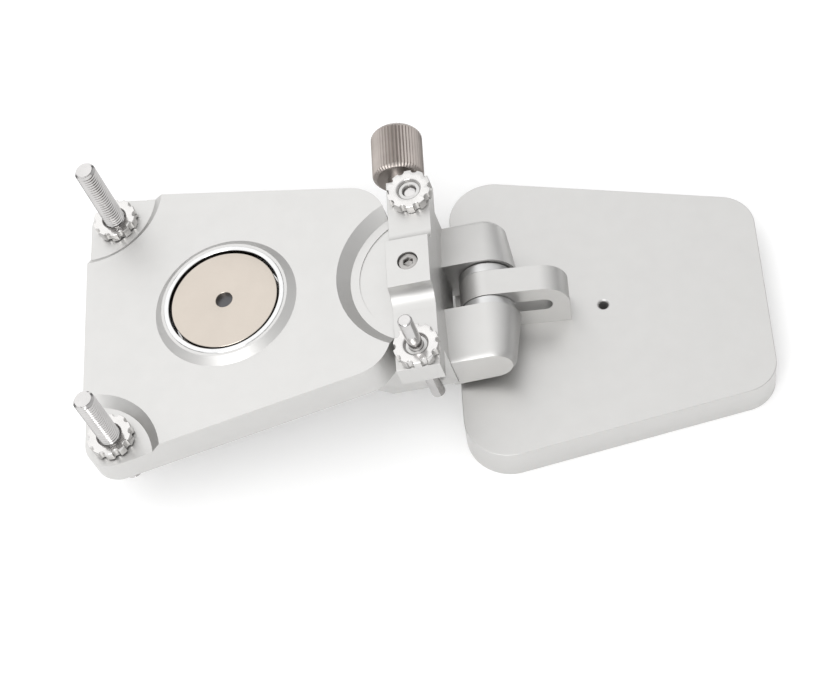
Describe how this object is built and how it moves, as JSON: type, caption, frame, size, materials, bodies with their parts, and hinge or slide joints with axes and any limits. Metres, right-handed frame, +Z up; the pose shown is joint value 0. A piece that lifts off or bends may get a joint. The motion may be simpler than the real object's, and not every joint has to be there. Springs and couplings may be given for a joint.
{
  "type": "dental articulator",
  "caption": "Hinged magnetic articulator for dental casts: base plate, tilting frame plate with threaded front feet, stop pins and clamp knob, shown opened out",
  "frame": {"origin": "underside of the base plate, below its centre hole", "axes": "+X toward the base plate's narrow free end, +Y along the hinge axis toward the clamp knob, +Z up from the bench"},
  "size_m": [0.1893, 0.095, 0.0516],
  "materials": {
    "plate_aluminium": "bead-blasted, clear anodised",
    "turned_aluminium": "turned",
    "dark_steel": "black oxide",
    "bright_steel": "polished, plated",
    "bronze": "oiled sintered bronze",
    "magnet_nickel": "polished nickel",
    "magnet_black": "sintered magnet",
    "pad_brass": "turned",
    "knob_steel": "knurled, dark plated"
  },
  "bodies": {
    "base": {"base_plate": "plate_aluminium", "hinge_arm": "plate_aluminium", "arm_screws": "dark_steel", "hinge_bush": "bronze"},
    "frame": {"frame_plate": "plate_aluminium", "cross_bar": "plate_aluminium", "bar_screw": "dark_steel", "bar_dowels": "bright_steel", "magnet_cup": "bright_steel", "ring_magnet": "magnet_black", "pole_disc": "magnet_nickel", "magnet_screw": "dark_steel", "hinge_pin": "bright_steel", "pin_set_screw": "dark_steel", "near_washer": "turned_aluminium", "far_washer": "turned_aluminium"},
    "long_stud_body": {"long_stud": "bright_steel"},
    "short_stud_body": {"short_stud": "bright_steel"},
    "near_pin_body": {"near_stop_pin": "bright_steel"},
    "far_pin_body": {"far_stop_pin": "bright_steel"},
    "long_nut_body": {"long_stud_nut": "bright_steel"},
    "short_nut_body": {"short_stud_nut": "bright_steel"},
    "near_nut_body": {"near_stop_nut": "bright_steel"},
    "far_nut_body": {"far_stop_nut": "bright_steel"},
    "pad_body": {"clamp_pad": "pad_brass"},
    "knob_body": {"clamp_knob": "knob_steel", "clamp_screw": "bright_steel"}
  },
  "joints": [
    {"name": "main_hinge", "type": "hinge", "parent": "base", "child": "frame", "pos_m": [-0.0317, 0, 0.0195], "axis": [0, 1, 0], "range_deg": [0, 95]},
    {"name": "long_stud_height", "type": "slide", "parent": "frame", "child": "long_stud_body", "axis": [-0.1444, 0, 0.9895], "range_m": [0, 0.01]},
    {"name": "short_stud_height", "type": "slide", "parent": "frame", "child": "short_stud_body", "axis": [-0.1444, 0, 0.9895], "range_m": [-0.005, 0.008]},
    {"name": "near_pin_height", "type": "slide", "parent": "frame", "child": "near_pin_body", "axis": [-0.1444, 0, 0.9895], "range_m": [-0.006, 0.008]},
    {"name": "far_pin_height", "type": "slide", "parent": "frame", "child": "far_pin_body", "axis": [-0.1444, 0, 0.9895], "range_m": [-0.003, 0.01]},
    {"name": "long_nut_turn", "type": "hinge", "parent": "frame", "child": "long_nut_body", "pos_m": [-0.13594, 0.0359, 0.024], "axis": [-0.1444, 0, 0.9895], "continuous": true},
    {"name": "short_nut_turn", "type": "hinge", "parent": "frame", "child": "short_nut_body", "pos_m": [-0.13594, -0.0359, 0.024], "axis": [-0.1444, 0, 0.9895], "continuous": true},
    {"name": "near_nut_turn", "type": "hinge", "parent": "frame", "child": "near_nut_body", "pos_m": [-0.05096, -0.0253, 0.03791], "axis": [-0.1444, 0, 0.9895], "continuous": true},
    {"name": "far_nut_turn", "type": "hinge", "parent": "frame", "child": "far_nut_body", "pos_m": [-0.05037, 0.0253, 0.038], "axis": [-0.1444, 0, 0.9895], "continuous": true},
    {"name": "pad_slide", "type": "slide", "parent": "frame", "child": "pad_body", "axis": [0, 1, 0], "range_m": [0, 0.0008]},
    {"name": "knob_turn", "type": "hinge", "parent": "pad_body", "child": "knob_body", "pos_m": [-0.05363, 0.033, 0.03267], "axis": [0, 1, 0], "range_deg": [0, 360]}
  ],
  "couplings": [
    {"joint": "pad_slide", "follows": "knob_turn", "m_per_rad": 0.00012732}
  ]
}
